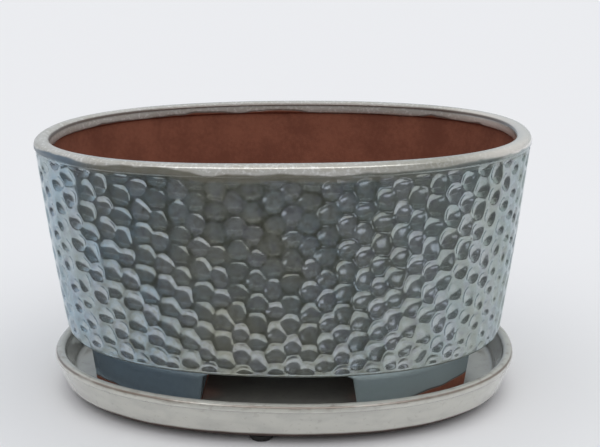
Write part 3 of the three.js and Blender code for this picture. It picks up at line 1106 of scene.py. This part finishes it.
        marks = {
            "below_lip": np.where(z < self.undercut_z, -20.0, start - run)[:, None],
            "reach": (end + self.lip_z - self.undercut_z + 0.2 - run)[:, None],
            "pool": np.zeros((1, 1)),
            # shoulder: where the dark line of painted shade runs near the lip's inner edge
            "shoulder": np.clip(1.6 - np.abs(run - shoulder) / 0.8, 0.0, 1.0)[:, None],
            "own": np.full((1, 1), 0.5),
        }
        marks["below_lip"][:lip_row, 0] = self.lip_z - band_z
        share = np.tile(np.arange(self.coarse) / self.coarse, (len(z), 1))
        places = self.ring(share, inset[:, None], z[:, None])
        return shell.add_grid(places, marks), places[-1]

    def drain_rows(self, outline: Array, middle: Array, level: float, way: int) -> Array:
        """Rows of points from an outline straight towards a drain hole's middle, and over the
        rounded edge of the hole: a quarter circle.

        Args:
            outline: The closed outline, shaped (points, 3).
            middle: The x and y of the hole's middle.
            level: The height of the flat face.
            way: 1 where the hole goes down from the face, and -1 where it goes up.

        Returns:
            The rows, shaped (rows, points, 3).
        """
        rounding = self.drain_rounding
        turn = np.linspace(0.0, math.pi / 2, 5)[1:, None, None]
        spoke = outline[:, :2] - middle
        spoke = spoke / np.linalg.norm(spoke, axis=1)[:, None]
        t = np.linspace(0.0, 1.0, 9)[:, None, None]
        hole = middle + spoke * (self.drain_radius + rounding)
        flat = outline[None, :, :2] * (1 - t) + hole * t
        bent = middle + spoke * (self.drain_radius + rounding * (1.0 - np.sin(turn)))
        drop = np.concatenate([0.0 * t, rounding * (1.0 - np.cos(turn))])
        xy = np.concatenate([flat, bent])
        height = np.broadcast_to(level - way * drop, (*xy.shape[:2], 1))
        return np.concatenate([xy, height], axis=2)

    def add_drained_floor(self, shell: Surface, over: Array, under: Array) -> None:
        """Adds floor and underside. Each half is one closed band: from the floor's outline in to
        the drain hole, down through it and out to the underside's outline.

        Args:
            shell: The surface to add to.
            over: The floor's outline, shaped (coarse, 3).
            under: The underside's outline, shaped (coarse, 3).
        """
        quarter = self.coarse // 4
        line = np.linspace(1.0, -1.0, 26)[1:-1, None]
        marks = self.plain_marks(np.full((1, 1), self.far_bare), 0.0)
        for side in (1, -1):
            start = quarter * (1 - side)
            pick = (start + np.arange(-quarter, quarter + 1)) % self.coarse
            middle = np.array([side * self.drain_x, 0.0])
            halves = []
            for outline in (over[pick], under[pick]):
                seam = outline[-1] * (1.0 + line) / 2 + outline[0] * (1.0 - line) / 2
                halves.append(np.concatenate([outline, seam]))
            down = self.drain_rows(halves[0], middle, self.floor_z, 1)
            up = self.drain_rows(halves[1], middle, self.underside_z, -1)
            shell.add_grid(np.concatenate([down, up[::-1]]), marks)

    def build_body(self) -> bpy.types.Object:
        """Builds the bowl as one closed shell.

        Returns:
            The bowl.
        """
        shell = Surface()
        under, ring_last = self.add_foot_ring(shell)
        wall_first, wall_last = self.add_wall(shell)
        lip_first, over = self.add_lip_and_inside(shell)
        ratio = self.fine // self.coarse
        shell.stitch(ring_last, wall_first, self.coarse, ratio, True)
        shell.stitch(lip_first, wall_last, self.coarse, ratio, False)
        self.add_drained_floor(shell, over, under)
        return shell.build("pot_body", sharp=55.0)

    def arch_reach(self, z: Array) -> Array:
        """Half the width of the gap between two feet at a height: straight flared sides with a
        rounded corner under the web.

        Args:
            z: The heights.

        Returns:
            The half widths.
        """
        top = self.underside_z - self.arch_web
        straight = top - self.arch_corner
        below = self.foot_z - self.arch_corner
        side = self.arch_half + self.arch_flare * (straight - z) / (straight - below)
        bend = 1.0 - np.sqrt(np.clip((top - z) / self.arch_corner, 0.0, 1.0))
        return np.where(z < straight, side, self.arch_half - self.arch_corner * bend ** 2)

    def foot_section(self, shrink: Array) -> tuple[Array, Array]:
        """The outline across a foot: a tall block, tapered outside, with rounded lower edges.

        Args:
            shrink: How far the outline is drawn in on all sides, shaped (rows, 1).

        Returns:
            The inset and height of each point, shaped (rows, points).
        """
        outer = self.wall_inset + self.foot_inset
        top = self.underside_z + 0.5
        corner = np.linspace(0.0, math.pi / 2, 6)
        round_out, round_in, down_rows = 1.6, 1.2, 12
        z = np.concatenate([
            np.linspace(top, self.foot_z + round_out, down_rows),
            self.foot_z + round_out * (1.0 - np.sin(corner[1:])),
            self.foot_z + round_in * (1.0 - np.cos(corner)),
            np.linspace(self.foot_z + round_in, top, 6)[1:],
        ])
        taper = self.foot_taper * (top - z) / (top - self.foot_z)
        inset = np.concatenate([
            np.full(down_rows, outer), outer + round_out * (1.0 - np.cos(corner[1:])),
            outer + self.foot_thickness - round_in * (1.0 - np.sin(corner)),
            np.full(5, outer + self.foot_thickness),
        ])
        outside = down_rows + len(corner) - 1
        inset[:outside] += taper[:outside]
        middle = outer + self.foot_thickness / 2
        scale = 1.0 - shrink / (self.foot_thickness / 2)
        low = self.foot_z + shrink
        return middle + (inset - middle) * scale, np.maximum(z, low + (z - self.foot_z) * 0.2)

    def build_foot(self, corner: Corner) -> bpy.types.Object:
        """Builds a foot: the section carried along the oval between two gaps, where each end is
        cut by the gap's side and its edge rounded.

        Args:
            corner: Which foot.

        Returns:
            The foot.
        """
        sign_x, sign_y = corner.value
        round_end, steps = 1.3, 60
        turn = np.linspace(0.0, math.pi / 2, 5)
        drawn_in = round_end * (1.0 - np.sin(turn))
        shrinks = np.concatenate([drawn_in, np.zeros(steps - 1), drawn_in[::-1]])
        step_in = round_end * (1.0 - np.cos(turn))
        offsets = np.concatenate([step_in, np.full(steps - 1, round_end), step_in[::-1]])
        along = np.concatenate([np.zeros_like(turn), np.linspace(0.0, 1.0, steps + 1)[1:-1],
                                np.ones_like(turn)])[:, None]
        inset, z = self.foot_section(shrinks[:, None])
        half_x, half_y = self.rim.length / 2 - inset, self.rim.width / 2 - inset
        cut_y = self.arch_reach(z) + offsets[:, None]
        cut_x = self.arch_reach(z) + sign_x * self.arch_shift + offsets[:, None]
        power = self.rim.power / 2
        start = np.arcsin(np.clip((cut_y / half_y) ** power, 0, 1))
        end = np.arccos(np.clip((cut_x / half_x) ** power, 0, 1))
        share = self.rim.shares(start) * (1 - along) + self.rim.shares(end) * along
        x, y = self.rim.at(self.rim.angles(share), inset)
        places = np.stack([sign_x * x, sign_y * y, z], axis=-1)
        outer = inset < self.wall_inset + self.foot_inset + self.glaze_depth
        climb = self.glaze_climb * np.clip(places[..., 0] - self.glaze_climb_x, 0.0, None)
        reach = np.where(outer, z - self.glaze_end_z - climb, self.far_bare)
        onward = -sign_x * sign_y
        places, reach = places[::onward, ::-1], reach[::onward, ::-1]
        surface = Surface()
        surface.add_capped(places, self.plain_marks(reach, self.foot_pool))
        return surface.build(f"pot_foot_{corner.name.lower()}", sharp=60.0)

    def build(self) -> list[bpy.types.Object]:
        """Builds and dresses the pot's pieces.

        Returns:
            The bowl and its four feet.
        """
        glaze = self.finish.material()
        pieces = [self.build_body()] + [self.build_foot(corner) for corner in Corner]
        for piece in pieces:
            piece.data.materials.append(glaze)
            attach(piece, Body.POT.value)
        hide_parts("pot")
        return pieces


@dataclass
class Tray:
    """The drip tray: a shallow oval dish on a hollowed base, with four rubber pads under it."""

    rim: Oval = Oval(257.0, 193.0)
    finish: TrayGlaze = TrayGlaze()
    pad_finish: PadRubber = PadRubber()
    base_z: float = 3.8
    top_z: float = 24.2
    floor_z: float = 11.3
    lip_thickness: float = 5.6
    lip_height: float = 4.4
    lip_round: float = 3.0
    lip_fullness: float = 0.62
    lip_overhang: float = 0.7
    glaze_inset: float = 5.7
    base_height: float = 2.7
    base_inset: float = 2.8
    floor_inset: float = 13.1
    floor_curve: float = 3.5
    recess_depth: float = 1.5
    recess_slope: float = 2.0
    band_width: float = 18.0
    pad_radius: float = 6.35
    pad_height: float = 3.5
    pad_foot: float = 4.75
    pad_edge: float = 1.2
    pad_setback: float = 0.5
    pad_shift: float = 5.0
    waver: float = 0.12
    sag: float = 0.18
    far_glazed: float = 9.0
    far_bare: float = -6.0
    columns: int = 432

    def outline(self) -> tuple[Array, Array, Array, Array]:
        """The dish's outline from the hollow under it, out and up, over the lip and in again.

        Returns:
            The inset and the height of each row, the glaze's reach, and how near the row is to
            the outer edge of the lip.
        """
        glaze_z = self.base_z + self.base_height
        under_lip = self.top_z - self.lip_height
        band = self.glaze_inset + self.base_inset
        inset = [np.array([band + self.band_width + self.recess_slope, band + self.band_width + 0.3,
                           band + self.band_width - 0.3, band + 0.8, band + 0.2])]
        z = [np.array([self.base_z + self.recess_depth, self.base_z + 0.1, self.base_z,
                       self.base_z, self.base_z + 0.2])]
        up = np.linspace(0.0, 1.0, 6)[1:]
        inset.append(band - self.base_inset * up)
        z.append(self.base_z + 0.3 + (self.base_height - 0.3) * up)
        up = np.linspace(0.0, 1.0, 16)[1:]
        wall = self.glaze_inset + (self.lip_overhang + 0.9 - self.glaze_inset) * up
        inset.append(wall - 0.5 * np.sin(math.pi * up) - 0.5 * np.exp(-up * 8.0))
        z.append(glaze_z + (under_lip - 0.4 - glaze_z) * up)
        inset.append(np.array([1.35, 0.9, 0.35, 0.08]))
        z.append(np.array([under_lip, under_lip + 0.35, under_lip + 0.7, under_lip + 1.05]))
        lip_row, edge_steps = sum(len(part) for part in z), 5
        turn = np.linspace(0.0, math.pi, 25)
        inset.append(self.lip_thickness / 2 * (1.0 - np.cos(turn)))
        lip_base = self.top_z - self.lip_round
        z.append(lip_base + self.lip_round * np.abs(np.sin(turn)) ** self.lip_fullness)
        down = np.linspace(0.0, 1.0, 6)[1:]
        curve_z = self.floor_z + self.floor_curve
        start = self.floor_inset - self.floor_curve
        inset.append(self.lip_thickness + (start - self.lip_thickness) * down)
        z.append(lip_base + (curve_z - lip_base) * down)
        turn = np.linspace(0.0, math.pi / 2, 8)[1:]
        inset.append(start + self.floor_curve * (1.0 - np.cos(turn)))
        z.append(curve_z - self.floor_curve * np.sin(turn))
        all_z = np.concatenate(z)
        row = np.arange(len(all_z))
        reach = np.minimum(all_z - glaze_z, self.far_glazed)
        reach[row < len(z[0])] = self.far_bare
        reach[row > lip_row] = self.far_glazed
        near = np.clip(1.3 - np.abs(row - lip_row - edge_steps) / 2.2, 0.0, 1.0)
        return np.concatenate(inset), all_z, reach, near

    def build_dish(self) -> bpy.types.Object:
        """Builds the dish: the outline carried round the oval, and its floor and hollow closed
        by rings that shrink to the middle.

        Returns:
            The dish.
        """
        inset, z, reach, near = self.outline()
        share = np.arange(self.columns) / self.columns
        angle = self.rim.angles(share)
        turn = 2.0 * math.pi * share
        wobble = self.waver * (1.0 + np.sin(5 * turn + 0.7)) * ease(4.0, 20.0, z)[:, None]
        x, y = self.rim.at(angle[None], inset[:, None] + wobble)
        rise = self.sag * (np.sin(3 * turn + 2.0) - 1.0) * ease(12.0, 24.0, z)[:, None]
        places = np.stack([x, y, z[:, None] + rise], axis=-1)
        shrink = np.array([0.06, 0.25, 0.5, 0.75, 0.92])[:, None, None]
        low, high = places[:1] * shrink, places[-1:] * shrink[::-1]
        low[..., 2], high[..., 2] = z[0], z[-1]
        grid = np.concatenate([low, places, high])
        reach = np.pad(reach, len(shrink), mode="edge")
        near = np.pad(near, len(shrink))
        surface = Surface()
        first = surface.add_grid(grid, {"reach": reach[:, None], "shoulder": near[:, None]})
        last = first + (len(grid) - 1) * self.columns
        poles = surface.add_points(np.array([[0, 0, z[0]], [0, 0, z[-1]]]),
                                   {"reach": reach[[0, -1]], "shoulder": np.zeros(2)})
        i = np.arange(self.columns)
        after = (i + 1) % self.columns
        under, over = np.full_like(i, poles), np.full_like(i, poles + 1)
        surface.add_faces(np.stack([under, first + after, first + i], axis=1))
        surface.add_faces(np.stack([over, last + i, last + after], axis=1))
        return surface.build("tray_dish")

    def build_pad(self, side: Side) -> bpy.types.Object:
        """Builds a pad: a quarter curve from the foot to a short straight side, turned round.

        Args:
            side: Which pad.

        Returns:
            The pad.
        """
        reach = self.glaze_inset + self.base_inset + self.pad_setback + self.pad_radius
        sign_x, sign_y = side.value
        centre = (sign_x * (self.rim.length / 2 - reach) + sign_y * self.pad_shift * (sign_y != 0),
                  sign_y * (self.rim.width / 2 - reach))
        turn = np.linspace(0.0, math.pi / 2, 9)
        dome = self.pad_height - self.pad_edge
        curve = self.pad_foot + (self.pad_radius - self.pad_foot) * np.sin(turn)
        radius = np.concatenate([[0.4, 2.0, 3.4], curve,
                                 [self.pad_radius, self.pad_radius - 0.25, 3.0, 0.4]])
        z = np.concatenate([np.zeros(3), dome * (1.0 - np.cos(turn)),
                            self.pad_height - np.array([0.2, 0.0, 0.0, 0.0])])
        count = 48
        angle = 2.0 * math.pi * np.arange(count) / count
        x = centre[0] + radius[:, None] * np.cos(angle)
        y = centre[1] + radius[:, None] * np.sin(angle)
        places = np.stack([x, y, np.broadcast_to(z[:, None], x.shape)], axis=-1)
        surface = Surface()
        surface.add_capped(places, {})
        return surface.build(f"tray_pad_{side.name.lower()}")

    def build(self) -> list[bpy.types.Object]:
        """Builds and dresses the tray and its pads.

        Returns:
            The dish and the four pads.
        """
        dish = self.build_dish()
        dish.data.materials.append(self.finish.material())
        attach(dish, Body.TRAY.value)
        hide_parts("drip_tray")
        rubber = self.pad_finish.material()
        pads = []
        for side in Side:
            pad = self.build_pad(side)
            pad.data.materials.append(rubber)
            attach(pad, Body.TRAY.value)
            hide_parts(f"pad_{side.name.lower()}")
            pads.append(pad)
        return [dish, *pads]


@dataclass
class Studio:
    """A pale floor under soft light, stronger from the front right and weak from low down. What
    reflects in the glaze is dark in front, from a card on the floor up to above eye level. The
    card and the lamp are placed in metres, and spans are of one part of a unit direction."""

    camera_place: Place = (0.04974, -0.58875, 0.24958)
    camera_aim: Place = (-0.0662, 0.9631, -0.2608)
    camera_roll: float = -0.0036
    lens: float = 66.19
    floor_half: float = 7.0
    floor_color: Color = (0.86, 0.86, 0.87)
    flag_y: float = -0.132
    flag_bow: float = 0.018
    flag_ends: tuple[float, float] = (-0.15, 0.20)
    flag_sweep: float = 0.34
    flag_color: Color = (0.02, 0.02, 0.02)
    soft_light: Color = (1.68, 1.68, 1.69)
    back_light: Color = (0.62, 0.65, 0.69)
    low_light: Color = (0.12, 0.12, 0.12)
    left_glow: Color = (0.45, 0.51, 0.57)
    right_glow: Color = (0.46, 0.50, 0.50)
    ceiling_glow: Color = (0.68, 0.68, 0.66)
    front_glow: Color = (0.90, 0.89, 0.87)
    box_glow: Color = (5.5, 5.4, 5.2)
    front_dark: Color = (0.050, 0.054, 0.052)
    glint_place: Place = (0.145, -0.212, 0.006)
    glint_size: float = 0.13
    glint_energy: float = 0.030
    glint_color: Color = (0.86, 0.88, 1.0)
    backdrop: Color = (0.79, 0.805, 0.84)
    front_span: tuple[float, float] = (-0.05, 0.25)
    dark_top: tuple[float, float] = (0.80, 0.62)
    side_span: tuple[float, float] = (-0.6, 0.6)
    ceiling_span: tuple[float, float] = (0.35, 0.75)
    ceiling_front: tuple[float, float] = (-0.1, 0.3)
    box_height: float = 0.86
    box_half: float = 0.11
    box_front: tuple[float, float] = (0.1, 0.3)
    right_pull: float = 0.40
    front_pull: float = 0.9
    low_span: tuple[float, float] = (0.1, 0.7)

    def build_camera(self) -> None:
        """Places the camera where the photograph was taken from."""
        data = bpy.data.cameras.new("view")
        data.sensor_width = 36.0
        data.sensor_fit = "HORIZONTAL"
        data.lens = self.lens
        data.clip_start, data.clip_end = 0.01, 60.0
        camera = bpy.data.objects.new("view", data)
        turn = Vector(self.camera_aim).to_track_quat("-Z", "Y").to_matrix().to_4x4()
        camera.matrix_world = (Matrix.Translation(self.camera_place) @ turn
                               @ Matrix.Rotation(self.camera_roll, 4, "Z"))
        bpy.context.scene.collection.objects.link(camera)
        bpy.context.scene.camera = camera

    def add_card(self, name: str, corners: list[Place], color: Color) -> bpy.types.Object:
        """Adds a flat stage piece.

        Args:
            name: Its name.
            corners: Its corners in metres, anticlockwise seen from its bright side.
            color: Its colour.

        Returns:
            The card.
        """
        mesh = bpy.data.meshes.new(name)
        mesh.from_pydata(corners, [], [tuple(range(len(corners)))])
        sheet = FinishSheet(f"{name}_finish")
        sheet.set(Base_Color=color, Roughness=0.9)
        sheet.shader.inputs["Specular IOR Level"].default_value = 0.0
        mesh.materials.append(sheet.material)
        card = bpy.data.objects.new(name, mesh)
        bpy.context.scene.collection.objects.link(card)
        return card

    def build_floor(self) -> None:
        """Adds the floor, and over it in front of the pot a dark card that only reflections
        see: its near edge bends round the pot and runs off to both sides."""
        h, y = self.floor_half, self.flag_y
        self.add_card("floor", [(-h, -h, 0), (h, -h, 0), (h, h, 0), (-h, h, 0)], self.floor_color)
        left, right = self.flag_ends
        far, front, middle, lift = 3.0, -4.0, 0.02, 0.004
        side, bow = y + self.flag_sweep * far, y - self.flag_bow
        edge = [(far, front), (far, side), (right, bow), (middle, y), (left, bow), (-far, side)]
        corners = [(-far, front, lift), *((*corner, lift) for corner in edge)]
        dark = self.add_card("front_flag", corners, self.flag_color)
        dark.visible_camera = False
        dark.visible_diffuse = False
        dark.visible_shadow = False

    def build_glint(self) -> None:
        """Adds a small soft light low in front, which shows as a glint in the dimples."""
        data = bpy.data.lights.new("glint", "AREA")
        data.shape = "DISK"
        data.size = self.glint_size
        data.energy = self.glint_energy
        data.color = self.glint_color
        lamp = bpy.data.objects.new("glint", data)
        turn = Vector((0.0, -0.35, -1.0)).to_track_quat("Z", "Y").to_matrix().to_4x4()
        lamp.matrix_world = Matrix.Translation(self.glint_place) @ turn
        lamp.visible_camera = False
        bpy.context.scene.collection.objects.link(lamp)

    def build_world(self) -> None:
        """Sets the soft surroundings: for matt surfaces a light that is stronger from the front
        right and weak from low down, and for reflections pale sides, a brighter ceiling and a
        dark front below it. The camera sees plain pale."""
        world = bpy.data.worlds.new("studio")
        world.use_nodes = True
        sheet = NodeSheet(world.node_tree)
        tree = sheet.tree
        output = tree.nodes.new("ShaderNodeOutputWorld")
        where = tree.nodes.new("ShaderNodeTexCoord")
        parts = tree.nodes.new("ShaderNodeSeparateXYZ")
        tree.links.new(where.outputs["Generated"], parts.inputs[0])
        x, y, z = parts.outputs
        forward = sheet.times(y, -1.0)
        dark = sheet.times(sheet.step(*self.front_span, forward), sheet.step(*self.dark_top, z))
        around = sheet.mix(sheet.step(*self.side_span, x), self.left_glow, self.right_glow)
        ceiling = sheet.mix(sheet.step(*self.ceiling_front, forward), self.ceiling_glow,
                            self.front_glow)
        glow = sheet.mix(sheet.step(*self.ceiling_span, z), around, ceiling)
        box = sheet.times(sheet.window(self.box_height, self.box_half, z),
                          sheet.step(*self.box_front, forward))
        glow = sheet.mix(box, glow, self.box_glow)
        glow = sheet.mix(dark, glow, self.front_dark)
        path = tree.nodes.new("ShaderNodeLightPath")
        sideways = sheet.math("MULTIPLY_ADD", x, self.right_pull,
                              sheet.times(forward, self.front_pull))
        soft = sheet.mix(sheet.math("MULTIPLY_ADD", sideways, 0.5, 0.5), self.back_light,
                         self.soft_light)
        soft = sheet.mix(sheet.step(*self.low_span, z), self.low_light, soft)
        shown = sheet.mix(path.outputs["Is Glossy Ray"], soft, glow)
        shown = sheet.mix(path.outputs["Is Camera Ray"], shown, self.backdrop)
        background = tree.nodes.new("ShaderNodeBackground")
        tree.links.new(shown, background.inputs[0])
        tree.links.new(background.outputs[0], output.inputs[0])
        bpy.context.scene.world = world

    def build(self) -> None:
        """Builds camera, floor and light."""
        self.build_camera()
        self.build_floor()
        self.build_glint()
        self.build_world()
        bpy.context.scene.view_settings.view_transform = "Standard"


def main() -> None:
    """Builds the studio, the tray and the pot, and reports each piece."""
    logging.basicConfig(level=logging.INFO, format="%(name)s: %(message)s")
    Studio().build()
    for piece in [*Tray().build(), *Pot().build()]:
        log.info("made %s", piece.name)


if __name__ == "__main__":
    main()
